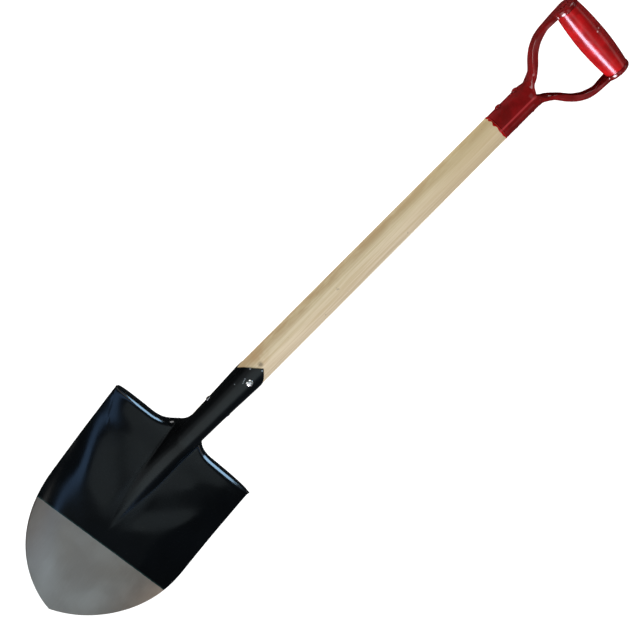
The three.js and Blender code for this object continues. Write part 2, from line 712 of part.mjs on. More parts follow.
addCrossRivet("socket_side_rivet", sideRivetSurface + GAP, SIDE_RIVET, SIDE_RIVET_Y, 0, paint.steel);
addPiece("yoke_left", makeYokeHalf(-1), paint.red);
addPiece("yoke_right", makeYokeHalf(1), paint.red);
for (const [name, y] of Object.entries(YOKE_RIVET_YS)) {
  addCrossRivet("yoke_rivet_" + name, YOKE_RADIUS + GAP, YOKE_RIVET, y, 0, paint.red);
}
addPiece("grip_bar", makeGripBar(), paint.red);
addCrossRivet("grip_bar_rod", EAR_OUTER_X + GAP, GRIP_ROD, GRIP_Y, GRIP_FORWARD, paint.red);

// The origin goes to the middle of the underside of the spade's bounding box.
const bounds = new THREE.Box3().setFromObject(pieces, true);
const middle = bounds.getCenter(new THREE.Vector3());
pieces.position.set(-middle.x, -middle.y, -bounds.min.z);

const spade = new THREE.Group();
spade.add(pieces);

export default spade;
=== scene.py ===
"""Looks of the round-point shovel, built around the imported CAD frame.

The frame lies on its back: +Y runs up the shaft to the grip, +X is across it, +Z is the front.
Shapes are worked out in millimetres about the shaft's centre line and moved into the frame at the end.
"""

import math

import bmesh
import bpy
import numpy as np
from mathutils import Matrix, Vector


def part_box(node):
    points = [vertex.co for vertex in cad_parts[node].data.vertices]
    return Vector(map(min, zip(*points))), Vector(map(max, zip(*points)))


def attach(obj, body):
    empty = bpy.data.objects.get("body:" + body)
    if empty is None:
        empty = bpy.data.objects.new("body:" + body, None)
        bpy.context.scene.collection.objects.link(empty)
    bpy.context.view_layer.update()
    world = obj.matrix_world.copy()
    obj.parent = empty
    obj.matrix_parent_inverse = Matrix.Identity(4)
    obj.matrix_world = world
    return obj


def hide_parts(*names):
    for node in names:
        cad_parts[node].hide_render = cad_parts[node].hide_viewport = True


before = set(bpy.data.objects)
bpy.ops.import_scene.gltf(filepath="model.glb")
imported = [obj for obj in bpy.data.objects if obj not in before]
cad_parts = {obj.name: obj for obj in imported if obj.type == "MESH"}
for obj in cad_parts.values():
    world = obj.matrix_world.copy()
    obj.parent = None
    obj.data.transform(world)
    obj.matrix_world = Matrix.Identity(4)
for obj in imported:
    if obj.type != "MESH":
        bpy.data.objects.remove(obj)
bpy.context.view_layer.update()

MM = 0.001

# ---------- sizes of the spade, in millimetres about the shaft's centre line ----------
# Those named in its CAD too have its values, apart from TREAD_WIDTH, TREAD_RADIUS, RIDGE_LENGTH and
# RIDGE_FADE.

GAP, TENON_GAP = 0.3, 0.5  # clearances between touching pieces
SHEET = 1.8
NECK_Y, NECK_RADIUS = -200, 16.8
MOUTH_Y, MOUTH_FLARE, TONGUE_LENGTH = -118, 2.8, 25
SEAM_ANGLE = math.radians(175.5)
SEAM_OPEN_Y = -145
SHOULDER_Y, SHOULDER_HALF_WIDTH, SHOULDER_DIP = -233, 116.7, 1.5
FILLET = 38
TREAD_WIDTH, NECK_LIP, TREAD_RADIUS, TREAD_BEND = 8.8, 4, 7.5, 40
SIDE_END_Y, SIDE_END_HALF_WIDTH = -359, 111
POINT_Y, POINT_SLOPE = -490, 0.229
SIDE_PULL, POINT_PULL = 60, 68.7
PLATE_DROP, PLATE_RISE, PLATE_CURVE = 9, 0.179, 0.0006
DISH_AT_SHOULDER, DISH_FULL, DISH_LENGTH, DISH_EDGE_SHARE = 11, 20.5, 157, 0.55
RIDGE_HEIGHT, RIDGE_LENGTH, RIDGE_FADE, RIDGE_STEEPEST, RIDGE_BLEND = 25, 162, 2.25, 0.94, 4
NECK_BLEND = 30
NECK_SMOOTH_LENGTH, NECK_SMOOTH_PASSES = 24, 160
MIDDLE_AT_SHOULDER, MIDDLE_AT_CORNER, MIDDLE_AT_SIDE_END = -246, -322, -392
WOOD_RADIUS_LOW, WOOD_RADIUS_HIGH = 19, 18.2
YOKE_SHEET, YOKE_RADIUS, YOKE_START_Y = 1.5, 17.7, 325
TENON_SHORT = 8
CROTCH_Y = 382.5
ARM_CORNER = 3.5
LIP_ROUNDING = 0.45
EAR_RADIUS, EAR_OUTER_X, EAR_INNER_X = 16, 56.5, 50
GRIP_Y, GRIP_FORWARD = 478.2, 14.5
BAR_MID_RADIUS, BAR_END_RADIUS, BAR_HALF_LENGTH = 18.9, 15.4, 52.8
# Stations up the arms, each as y and the value there.
ARM_OUTER_X = [(387, 17.7), (396, 23.6), (408, 37.8), (420, 48.5), (432, 54.4), (445, 56.5)]
ARM_INNER_X = [(382.5, 0.15), (390, 11), (398, 15.5), (408, 24.3), (420, 37.6), (432, 45.6), (448, 50)]
ARM_HALF_DEPTH = [(376, 17.7), (390, 13), (405, 8.5), (422, 6.5), (440, 6.5), (462, 9.6)]
ARM_CENTRE_Z = [(375, 0), (384, 2.6), (408, 7.3), (432, 10.2), (448, 11), (462, 10.5)]
EAR_BLEND, EAR_BLEND_LENGTH = 5, 14
ARM_CORNER_RADIUS = [(376, 17.7), (416, 3.5)]

FRONT_RIVET_Y, SIDE_RIVET_Y, YOKE_RIVET_YS = -117.6, -171.4, {"lower": 342.4, "upper": 370.8}
WASHER_HOLE, WASHER_RADIUS, WASHER_HALF = 2.9, 7, 0.6
FLAT_TOP = 0.45  # a head's flat top, as a share of its radius
HEAD_RIM = 0.25  # upright rim below a head's dome

# Where the shaft's centre line lies in the frame, read off the grip's tube.
bar_low, bar_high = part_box("grip_bar")
bar_centre = (bar_low + bar_high) / 2
SHIFT = np.array([0, bar_centre.y / MM - GRIP_Y, bar_centre.z / MM - GRIP_FORWARD])


def smooth(t):
    t = np.clip(t, 0, 1)
    return t * t * (3 - 2 * t)


def mix(a, b, t):
    return a + (b - a) * t


def through(points, y):
    """A smooth curve through (y, value) points that never swings past them, level at both ends."""
    ys, values = np.array(points, float).T
    rise = np.diff(values) / np.diff(ys)
    slope = np.zeros(len(ys))
    same = rise[:-1] * rise[1:] > 0
    slope[1:-1][same] = (2 * rise[:-1] * rise[1:] / (rise[:-1] + rise[1:]))[same]
    y = np.clip(y, ys[0], ys[-1])
    i = np.clip(np.searchsorted(ys, y, side="right") - 1, 0, len(ys) - 2)
    length = ys[i + 1] - ys[i]
    t = (y - ys[i]) / length
    swing = slope[i] * (1 - t) - slope[i + 1] * t
    return mix(values[i], values[i + 1], smooth(t)) + length * t * (1 - t) * swing


# ---------- mesh helpers ----------


def make_object(name, points, faces, material, flat_angle=35):
    """A mesh object from points in millimetres about the shaft's centre line."""
    placed = (np.asarray(points, float).reshape(-1, 3) + SHIFT) * MM
    mesh = bpy.data.meshes.new(name)
    mesh.from_pydata(placed.tolist(), [], faces)
    mesh.validate()
    mesh.update()
    piece = bpy.data.objects.new(name, mesh)
    bpy.context.scene.collection.objects.link(piece)
    mesh.materials.append(material)
    mesh.shade_smooth()
    mesh.set_sharp_from_angle(angle=math.radians(flat_angle))
    return piece


def grid_faces(rows, columns, wrap=False, base=0, flip=False):
    """Quads over a grid of points, row by row; wrap closes each row on itself."""
    faces = []
    for i in range(rows - 1):
        for j in range(columns if wrap else columns - 1):
            a = base + i * columns + j
            b = base + i * columns + (j + 1) % columns
            quad = (a, b, b + columns, a + columns)
            faces.append(quad[::-1] if flip else quad)
    return faces


def turned(name, profile, material, axis="Y", segments=128, centre=(0, 0, 0), flat_angle=35, wobble=None):
    """A solid of revolution from (radius, distance along the axis) points.

    The profile starts and ends on the axis, or else is closed into a ring.
    """
    profile = np.asarray(profile, float)
    closed = profile[0, 0] > 1e-6
    angles = np.linspace(0, 2 * math.pi, segments, endpoint=False)
    radius = profile[:, 0][:, None] * np.ones(segments)
    along = profile[:, 1][:, None] * np.ones(segments)
    if wobble is not None:
        radius = radius * (1 + wobble(along, angles[None, :]))
    c, s = radius * np.cos(angles), radius * np.sin(angles)
    order = {"X": (along, c, s), "Y": (s, along, c), "Z": (c, s, along)}[axis]
    points = np.stack(order, -1).reshape(-1, 3) + np.asarray(centre, float)
    count = len(profile)
    faces = grid_faces(count, segments, wrap=True, flip=True)
    if closed:
        last = (count - 1) * segments
        for j in range(segments):
            k = (j + 1) % segments
            faces.append((j, k, last + k, last + j))
    piece = make_object(name, points, faces, material, flat_angle)
    merge_close(piece, 1e-6)
    return piece


def merge_close(piece, distance):
    """Joins points that lie together and turns the faces outwards."""
    bm = bmesh.new()
    bm.from_mesh(piece.data)
    bmesh.ops.remove_doubles(bm, verts=bm.verts, dist=distance)
    bmesh.ops.dissolve_degenerate(bm, dist=distance, edges=bm.edges)
    bmesh.ops.recalc_face_normals(bm, faces=bm.faces)
    bm.to_mesh(piece.data)
    bm.free()
    piece.data.update()


# ---------- the blade's surface, by the CAD's formulas but fine ----------


def socket_radius(y):
    t = np.clip((y - NECK_Y) / (MOUTH_Y - NECK_Y), 0, 1)
    return NECK_RADIUS + MOUTH_FLARE * t**1.3


def bezier(points, t):
    """Points and directions along a Bezier curve of any degree, in the plane."""
    points = np.asarray(points, float)
    t = np.asarray(t, float)[:, None]
    n = len(points) - 1

    def blend(p, m):
        total = 0
        for k in range(m + 1):
            total = total + math.comb(m, k) * (1 - t) ** (m - k) * t**k * p[k]
        return total

    along = blend(np.diff(points, axis=0) * n, n - 1)
    return blend(points, n), along / np.linalg.norm(along, axis=1, keepdims=True)


def spaced(points, count):
    """count points of a Bezier curve evenly spread over its length, without its end, with directions."""
    t = np.linspace(0, 1, 600)
    xy, _ = bezier(points, t)
    length = np.concatenate([[0], np.cumsum(np.linalg.norm(np.diff(xy, axis=0), axis=1))])
    wanted = np.linspace(0, length[-1], count, endpoint=False)
    return bezier(points, np.interp(wanted, length, t))


shoulder_top = SHOULDER_Y - SHOULDER_DIP
corner = (SHOULDER_HALF_WIDTH, SHOULDER_Y)
side_end = np.array([SIDE_END_HALF_WIDTH, SIDE_END_Y])
side_direction = (side_end - corner) / np.linalg.norm(side_end - corner)
FILLET_CURVE = [(NECK_RADIUS, NECK_Y), (NECK_RADIUS, shoulder_top), (NECK_RADIUS + FILLET, shoulder_top)]
SHOULDER_CURVE = [(NECK_RADIUS + FILLET, shoulder_top), (SHOULDER_HALF_WIDTH * 0.75, shoulder_top), corner]
SIDE_CURVE = [corner, side_end]
POINT_CURVE = [
    side_end,
    side_end + SIDE_PULL * side_direction,
    (POINT_PULL * math.cos(POINT_SLOPE), POINT_Y + POINT_PULL * math.sin(POINT_SLOPE)),
    (0, POINT_Y),
]
rolled_edge = np.concatenate([spaced(c, 60)[0] for c in (FILLET_CURVE, SHOULDER_CURVE)] + [[corner]])


def distance_to_rolled_edge(x, y):
    best = np.where(y > NECK_Y, np.abs(socket_radius(y) - x), np.inf)
    for a, b in zip(rolled_edge[:-1], rolled_edge[1:]):
        d = b - a
        t = np.clip(((x - a[0]) * d[0] + (y - a[1]) * d[1]) / (d @ d), 0, 1)
        best = np.minimum(best, np.hypot(x - a[0] - t * d[0], y - a[1] - t * d[1]))
    return best


def tread_fade(x):
    t = np.clip((x - NECK_RADIUS - FILLET) / (SHOULDER_HALF_WIDTH - NECK_RADIUS - FILLET), 0, 1)
    return np.sqrt(np.maximum(0, 1 - t**4))


def roll_drop(radius, d):
    inside = np.maximum(0, radius - d)
    return radius - np.sqrt(np.maximum(0, radius**2 - inside**2))


def front_height(x, y):
    """Height of the blade's front surface over its outline."""
    below = SHOULDER_Y - y
    centre = -PLATE_DROP + PLATE_RISE * below + PLATE_CURVE * below * np.abs(below)
    depth = mix(DISH_AT_SHOULDER, DISH_FULL, np.clip(below / DISH_LENGTH, 0, 1.5))
    taper = (SHOULDER_HALF_WIDTH - SIDE_END_HALF_WIDTH) / (SHOULDER_Y - SIDE_END_Y)
    q = x / (SHOULDER_HALF_WIDTH - taper * np.maximum(0, below))
    plate = centre + depth * ((1 - DISH_EDGE_SHARE) * q**2 + DISH_EDGE_SHARE * q**4)
    lift = RIDGE_HEIGHT * np.maximum(0, 1 - np.maximum(0, below) / RIDGE_LENGTH) ** RIDGE_FADE
    steep = RIDGE_STEEPEST * NECK_RADIUS
    near = np.minimum(x, steep)
    tube = np.sqrt(NECK_RADIUS**2 - near**2)
    ridge = centre + lift - NECK_RADIUS + tube - (x - near) * (steep / tube)
    soft = np.minimum(RIDGE_BLEND, 0.5 * lift)
    pressed = (plate + ridge + np.hypot(plate - ridge, soft)) / 2
    d = distance_to_rolled_edge(x, y)
    rolled = pressed - roll_drop(TREAD_RADIUS * tread_fade(x), d)
    radius = socket_radius(y)
    return mix(radius - roll_drop(radius, d), rolled, smooth((NECK_Y - y) / NECK_BLEND))


def sheet_row(end, middle_y, reach, flange, flange_radius, outward, columns):
    """One row of the sheet, from the middle out to the edge and on round the rolled back edge."""
    t = 1 - (1 - np.linspace(0, 1, 321)) ** 1.6
    x = 2 * t * (1 - t) * reach * end[0] + t * t * end[0]
    y = (1 - t * t) * middle_y + t * t * end[1]
    points = np.stack([x, y, front_height(x, y)], 1)
    if flange > 0:
        a = flange / flange_radius * np.linspace(0, 1, 81)[1:]
        inward = flange_radius * (1 - np.cos(a))
        rim = points[-1]
        back_x, back_y = rim[0] - outward[0] * inward, rim[1] - outward[1] * inward
        back = np.stack([back_x, back_y, rim[2] - flange_radius * np.sin(a)], 1)
        points = np.concatenate([points, back])
    step = np.diff(points, axis=0)
    length = np.linalg.norm(step, axis=1)
    heading = step / np.maximum(length, 1e-9)[:, None]
    turn = np.arccos(np.clip((heading[1:] * heading[:-1]).sum(1), -1, 1))
    measure = np.concatenate([[0], np.cumsum(length + 7 * np.concatenate([[0], turn]))])
    wanted = np.linspace(0, measure[-1], columns + 1)
    return np.stack([np.interp(wanted, measure, points[:, k]) for k in range(3)], 1)


def blade_rows(columns, fineness):
    """All rows of the front surface, from the socket's mouth to just above the point."""
    rows = []
    wrap = SEAM_ANGLE - math.pi / 2
    socket_rows = 12 * fineness
    for i in range(socket_rows):
        t = i / socket_rows
        y = mix(MOUTH_Y, NECK_Y, t)
        radius = float(socket_radius(y))
        flange = mix(radius * wrap, NECK_LIP, smooth((SEAM_OPEN_Y - y) / (SEAM_OPEN_Y - NECK_Y)))
        row = sheet_row((radius, y), y, 0.5, flange, radius, (1, 0), columns)
        quarters = np.arctan2(row[:, 0], row[:, 2]) / (math.pi / 2)
        row[:, 1] += TONGUE_LENGTH * np.abs(1 - quarters) * (1 - t) ** 2
        stretch = socket_radius(row[:, 1]) / radius
        row[:, 0] *= stretch
        row[:, 2] *= stretch
        rows.append(row)
    stretches = [
        (FILLET_CURVE, 12, NECK_Y, MIDDLE_AT_SHOULDER, 0.5, 0.92),
        (SHOULDER_CURVE, 12, MIDDLE_AT_SHOULDER, MIDDLE_AT_CORNER, 0.92, 0.66),
        (SIDE_CURVE, 9, MIDDLE_AT_CORNER, MIDDLE_AT_SIDE_END, 0.66, 0.5),
        (POINT_CURVE, 14, MIDDLE_AT_SIDE_END, POINT_Y, 0.5, 0.5),
    ]
    for curve, count, start, stop, reach_start, reach_stop in stretches:
        count *= fineness
        ends, along = spaced(curve, count)
        for i in range(count):
            t = i / count
            turned_share = smooth(t) if curve is FILLET_CURVE else 1
            flange = 0
            if curve is FILLET_CURVE or curve is SHOULDER_CURVE:
                width = mix(NECK_LIP, TREAD_WIDTH, smooth((ends[i, 0] - NECK_RADIUS - FILLET / 2) / FILLET))
                flange = width * float(tread_fade(ends[i, 0]))
            middle, reach = mix(start, stop, t), mix(reach_start, reach_stop, t)
            bend = mix(NECK_RADIUS, TREAD_BEND, turned_share)
            rows.append(sheet_row(ends[i], middle, reach, flange, bend, (-along[i, 1], along[i, 0]), columns))
    return np.array(rows)


def pressed_sheet(name, half, pole, thickness, material):
    """A sheet of even thickness behind a mirrored front surface that ends in one point."""
    mirrored = half[:, :0:-1] * (-1, 1, 1)
    front = np.concatenate([mirrored, half], 1)
    rows, width, _ = front.shape
    capped = np.concatenate([front, np.broadcast_to(pole, (1, width, 3))])
    across = np.gradient(front, axis=1)
    down = np.gradient(capped, axis=0)[:rows]
    normal = -np.cross(across, down)
    normal /= np.maximum(np.linalg.norm(normal, axis=2, keepdims=True), 1e-9)
    back = front - normal * thickness
    widest = SHOULDER_HALF_WIDTH + 1
    back[..., 0] = np.clip(back[..., 0], -widest, widest)
    back[..., 1] = np.maximum(back[..., 1], POINT_Y)
    points = np.concatenate([front.reshape(-1, 3), back.reshape(-1, 3), [pole, pole - (0, 0, thickness)]])
    size = rows * width
    faces = grid_faces(rows, width)
    faces += grid_faces(rows, width, base=size, flip=True)
    last = (rows - 1) * width
    for j in range(width - 1):
        faces.append((j + 1, j, size + j, size + j + 1))
        faces.append((last + j, last + j + 1, 2 * size))
        faces.append((size + last + j + 1, size + last + j, 2 * size + 1))
    for i in range(rows - 1):
        for j, flip in ((0, False), (width - 1, True)):
            a = i * width + j
            quad = (a, a + width, size + a + width, size + a)
            faces.append(quad[::-1] if flip else quad)
    faces.append((last, 2 * size, 2 * size + 1, size + last))
    faces.append((2 * size, last + width - 1, size + last + width - 1, 2 * size + 1))
    piece = make_object(name, points, faces, material, 40)
    merge_close(piece, 1e-6)
    return piece


# ---------- the grip's half shells, by the CAD's formulas but fine ----------


def arm_section(y, inset):
    """Edge positions of the +X half shell at y, drawn in by an inset."""
    arm = through(ARM_HALF_DEPTH, y) - inset
    arm_z = through(ARM_CENTRE_Z, y)
    ear = math.sqrt(max(0, (EAR_RADIUS - inset) ** 2 - (y - GRIP_Y) ** 2))
    soft = EAR_BLEND * min(1, max(0, (GRIP_Y - y) / EAR_BLEND_LENGTH))

    def outermost(p, q):
        return (p + q + math.hypot(p - q, soft)) / 2 if y < GRIP_Y else q

    front = outermost(arm_z + arm, GRIP_FORWARD + ear)
    back = -outermost(arm - arm_z, ear - GRIP_FORWARD)
    outer = through(ARM_OUTER_X, y) - inset
    corner_radius = through(ARM_CORNER_RADIUS, y) - inset
    return outer, through(ARM_INNER_X, y), (front - back) / 2, corner_radius, (front + back) / 2


def bracket(y, inset):
    """The +X half shell's outline at y: leg, corner, web, corner and leg, open towards the middle."""
    outer, inner, depth, radius, centre_z = arm_section(y, inset)
    radius = max(0.02, min(radius, depth, outer - inner))
    leg = np.linspace(inner, outer - radius, 5)[:-1]
    a = np.linspace(0, math.pi / 2, 10)
    x = np.concatenate([leg, outer - radius + radius * np.sin(a)])
    z = np.concatenate([np.full(4, depth), depth - radius + radius * np.cos(a)])
    web = np.linspace(depth - radius, radius - depth, 11)[1:-1]
    x = np.concatenate([x, np.full(9, outer), x[::-1]])
    z = np.concatenate([z, web, -z[::-1]])
    rim = EAR_RADIUS - inset
    if y > GRIP_Y:
        bend = max(0.4, ARM_CORNER - inset)
        cap = EAR_OUTER_X - inset - roll_drop(bend, np.maximum(0, rim - np.hypot(y - GRIP_Y, z)))
        x = np.minimum(x, np.maximum(cap, inner))
    return np.stack([x, np.full(len(x), y), z + centre_z], 1)


def yoke_half(name, side, material):
    """A pressed half shell with rounded lips, from closed C-shaped sections."""
    straight = np.concatenate([
        np.linspace(YOKE_START_Y, 374, 10), np.linspace(375, CROTCH_Y, 9),
        np.linspace(383, 398, 22), np.linspace(399.5, 461.5, 36),
    ])
    start = math.asin((462.6 - GRIP_Y) / EAR_RADIUS)
    stations = [(y, y) for y in straight]
    stations += [
        (GRIP_Y + EAR_RADIUS * math.sin(a), GRIP_Y + (EAR_RADIUS - YOKE_SHEET) * math.sin(a))
        for a in np.linspace(start, math.pi / 2, 30)
    ]
    loops = []
    for outer_y, inner_y in stations:
        outside, inside = bracket(outer_y, 0), bracket(inner_y, YOKE_SHEET)
        front_lip = (outside[0] + inside[0]) / 2
        back_lip = (outside[-1] + inside[-1]) / 2
        for end in (0, -1):
            outside[end, 0] += LIP_ROUNDING
            inside[end, 0] += LIP_ROUNDING
        loops.append(np.concatenate([outside, [back_lip], inside[::-1], [front_lip]]))
    loops = np.array(loops)
    count = loops.shape[1]
    loops[..., 0] *= side
    faces = grid_faces(len(loops), count, wrap=True)
    half = (count - 2) // 2
    for j in range(half - 1):
        faces.append((j, j + 1, count - 3 - j, count - 2 - j))
    faces.append((half - 1, half, half + 1))
    faces.append((0, count - 2, count - 1))
    piece = make_object(name, loops, faces, material, 50)
    merge_close(piece, 1e-5)
    piece.data.set_sharp_from_angle(angle=math.radians(50))
    return piece


# ---------- round pieces ----------


def head(radius, height):
    """A low dome with a flat top, from its rim to the axis."""
    a = np.linspace(0, math.acos(FLAT_TOP), 12)
    x, h = radius * np.cos(a), height * np.sin(a) / math.sin(math.acos(FLAT_TOP))
    rim = [(radius, 0), (radius, HEAD_RIM)]
    return rim + [(p, HEAD_RIM + (height - HEAD_RIM) * q / height) for p, q in zip(x, h)] + [(0, height)]


def rivet(name, half, shank, near, far, material, axis, centre):
    """A rivet through a centre along an axis, its shank twice half in length.

    near and far are the radius and height of the head at the axis's positive and negative end.
    """
    low = [(r, -half - h) for r, h in head(*far)][::-1]
    high = [(r, half + h) for r, h in head(*near)]
    profile = low + [(shank, -half), (shank, half)] + high

    def hammered(along, angle):
        return 0.02 * np.sin(3 * angle + along) + 0.015 * np.sin(5 * angle + 2)

    return turned(name, profile, material, axis, 64, centre, 40, hammered)


def ripple(seed, count, length, amplitude):
    """Gentle random unevenness as a sum of waves over two coordinates."""
    rng = np.random.default_rng(seed)
    waves = [(rng.normal(0, 1 / length), rng.normal(0, 1 / length), rng.uniform(0, 7)) for _ in range(count)]

    def height(p, q):
        return sum(amplitude / math.sqrt(count) * np.sin(a * p + b * q + c) for a, b, c in waves)

    return height


# ---------- materials ----------


class Nodes:
    """A short way to build a material's node tree. All its places are fixed on the spade."""

    def __init__(self, name):
        self.material = bpy.data.materials.new(name)
        self.material.use_nodes = True
        self.tree = self.material.node_tree
        self.shader = self.tree.nodes["Principled BSDF"]
        self.place = self.add("ShaderNodeTexCoord").outputs["Object"]

    def add(self, kind, **settings):
        node = self.tree.nodes.new(kind)
        for key, value in settings.items():
            setattr(node, key, value)
        return node

    def feed(self, socket, value):
        if isinstance(value, bpy.types.NodeSocket):
            self.tree.links.new(value, socket)
        elif isinstance(value, (tuple, list)) and socket.type == "RGBA":
            socket.default_value = (*value[:3], 1)
        else:
            socket.default_value = value

    def math(self, operation, a, b=0.0, c=0.0):
        node = self.add("ShaderNodeMath", operation=operation)
        for socket, value in zip(node.inputs, (a, b, c)):
            self.feed(socket, value)
        return node.outputs[0]

    def fit(self, value, low, high, to_low=0.0, to_high=1.0, smooth_step=True):
        node = self.add("ShaderNodeMapRange", interpolation_type="SMOOTHSTEP" if smooth_step else "LINEAR")
        for socket, v in zip(node.inputs, (value, low, high, to_low, to_high)):
            self.feed(socket, v)
        return node.outputs["Result"]

    def mix(self, share, a, b):
        node = self.add("ShaderNodeMix", data_type="RGBA")
        self.feed(node.inputs["Factor"], share)
        self.feed(node.inputs["A"], a)
        self.feed(node.inputs["B"], b)
        return node.outputs["Result"]

    def stretched(self, x, y, z):
        """Object coordinates in units of the given lengths, in millimetres."""
        node = self.add("ShaderNodeMapping")
        self.feed(node.inputs["Vector"], self.place)
        node.inputs["Scale"].default_value = (1000 / x, 1000 / y, 1000 / z)
        return node.outputs["Vector"]

    def noise(self, size, detail=3.0, roughness=0.5, vector=None, distortion=0.0):
        """Noise with features of about the given size in millimetres."""
        node = self.add("ShaderNodeTexNoise")
        self.feed(node.inputs["Vector"], vector or self.stretched(size, size, size))
        node.inputs["Scale"].default_value = 1.0
        node.inputs["Detail"].default_value = detail
        node.inputs["Roughness"].default_value = roughness
        node.inputs["Distortion"].default_value = distortion
        return node.outputs["Fac"]

    def coordinate(self, axis):
        node = self.add("ShaderNodeSeparateXYZ")
        self.feed(node.inputs[0], self.place)
        shift = float(SHIFT["XYZ".index(axis)])
        return self.math("SUBTRACT", self.math("MULTIPLY", node.outputs[axis], 1000.0), shift)

    def spot(self, point, radius, softness=0.5):
        """1 inside a ball round a point of the spade, fading to 0 at its rim."""
        node = self.add("ShaderNodeVectorMath", operation="DISTANCE")
        self.feed(node.inputs[0], self.place)
        node.inputs[1].default_value = tuple((np.array(point, float) + SHIFT) * MM)
        return self.fit(node.outputs["Value"], radius * MM, radius * MM * softness)

    def bump(self, height, strength, distance):
        node = self.add("ShaderNodeBump")
        node.inputs["Strength"].default_value = strength
        node.inputs["Distance"].default_value = distance
        self.feed(node.inputs["Height"], height)
        self.feed(self.shader.inputs["Normal"], node.outputs["Normal"])

    def set(self, **inputs):
        for key, value in inputs.items():
            self.feed(self.shader.inputs[key.replace("_", " ")], value)
        return self.material


def blade_material():
    """Gloss black paint down to a straight line, duller on the socket and ridge, and bare steel below."""
    n = Nodes("blade_paint")
    x, y, z = n.coordinate("X"), n.coordinate("Y"), n.coordinate("Z")
    across = n.math("MULTIPLY_ADD", z, -PAINT_LINE_TILT, y)
    ragged = n.math("MULTIPLY_ADD", n.math("SUBTRACT", n.noise(9, 4), 0.5), 1.2, across)
    bare = n.fit(ragged, PAINT_LINE_Y + 0.25, PAINT_LINE_Y - 0.25)
    edge = n.math("MULTIPLY", n.fit(ragged, PAINT_LINE_Y + 2.2, PAINT_LINE_Y), n.math("SUBTRACT", 1.0, bare))
    mottle = n.noise(34, 4, 0.55, distortion=0.6)
    streaks = n.noise(1, 3, 0.6, n.stretched(2.5, 26, 9))
    steel = n.mix(n.fit(mottle, 0.3, 0.7), (0.375, 0.285, 0.222), (0.395, 0.305, 0.238))
    steel = n.mix(n.math("MULTIPLY", n.fit(streaks, 0.45, 0.75), 0.18), steel, (0.45, 0.35, 0.28))
    flecks = n.fit(n.noise(3.2, 1), 0.755, 0.79)
    paint = n.mix(n.fit(n.noise(60, 3), 0.35, 0.7), (0.0010, 0.0012, 0.0014), (0.0016, 0.0019, 0.0023))
    paint = n.mix(n.math("MULTIPLY", edge, 0.8), paint, (0.018, 0.042, 0.034))
    chips = 0.0
    for point, radius in PAINT_CHIPS:
        chips = n.math("MAXIMUM", chips, n.spot(point, radius))
    chips = n.math("MULTIPLY", chips, n.fit(n.noise(1.1, 2), 0.25, 0.4))
    dusty = n.math("MULTIPLY", flecks, n.math("MULTIPLY", 0.012, n.math("SUBTRACT", 1.0, bare)))
    color = n.mix(dusty, n.mix(chips, paint, (0.32, 0.33, 0.34)), (0.3, 0.31, 0.33))
    gloss = n.fit(n.noise(45, 3), 0.3, 0.75, 0.09, 0.17)
    satin = n.math("MULTIPLY", n.fit(n.math("ABSOLUTE", x), 26, 14), n.fit(y, -385, -330))
    n.set(
        Base_Color=n.mix(bare, color, steel),
        Metallic=bare,
        Roughness=n.mix(bare, n.mix(satin, gloss, (0.3, 0.3, 0.3)), n.fit(mottle, 0.3, 0.7, 0.41, 0.44)),
        IOR=1.5,
    )
    n.bump(n.math("MULTIPLY_ADD", streaks, bare, n.math("MULTIPLY", n.noise(3.5, 2), 0.25)), 0.12, 0.0004)
    return n.material


def red_material(name, dark=1.0, dullest=0.22):
    """Gloss red paint, darker in patches, with a painted highlight along the front of the socket's seam,
    small painted glints and a scuff.
    """
    n = Nodes(name)
    cloud = n.fit(n.noise(16, 4, 0.6, distortion=0.4), 0.3, 0.72)
    color = n.mix(cloud, (0.12 * dark, 0.0035, 0.003), (0.20 * dark, 0.0048, 0.0055))
    x, y, z = n.coordinate("X"), n.coordinate("Y"), n.coordinate("Z")
    # A lighter line along the front of the socket's seam: a painted highlight.
    seam_highlight = n.math("MULTIPLY", n.fit(n.math("ABSOLUTE", x), 1.7, 0.5), n.fit(z, 8, 14))
    seam_highlight = n.math("MULTIPLY", seam_highlight, n.fit(y, CROTCH_Y + 3, CROTCH_Y - 2))
    color = n.mix(seam_highlight, color, (0.42, 0.03, 0.032))
    # Small light pink dots on the tube: painted glints.
    glints = 0.0
    for point, radius in GRIP_GLINTS:
        glints = n.math("MAXIMUM", glints, n.spot(point, radius))
    color = n.mix(glints, color, (0.6, 0.32, 0.3))
    scuff = n.math("MULTIPLY", n.fit(n.noise(1.6, 3), 0.62, 0.72), n.spot(*GRIP_SCUFF))
    color = n.mix(scuff, color, (0.06, 0.004, 0.004))
    n.set(Base_Color=color, Roughness=n.fit(n.noise(9, 2), 0.3, 0.75, dullest - 0.07, dullest), IOR=1.5)
    n.bump(n.noise(5, 3), 0.07, 0.0005)
    return n.material


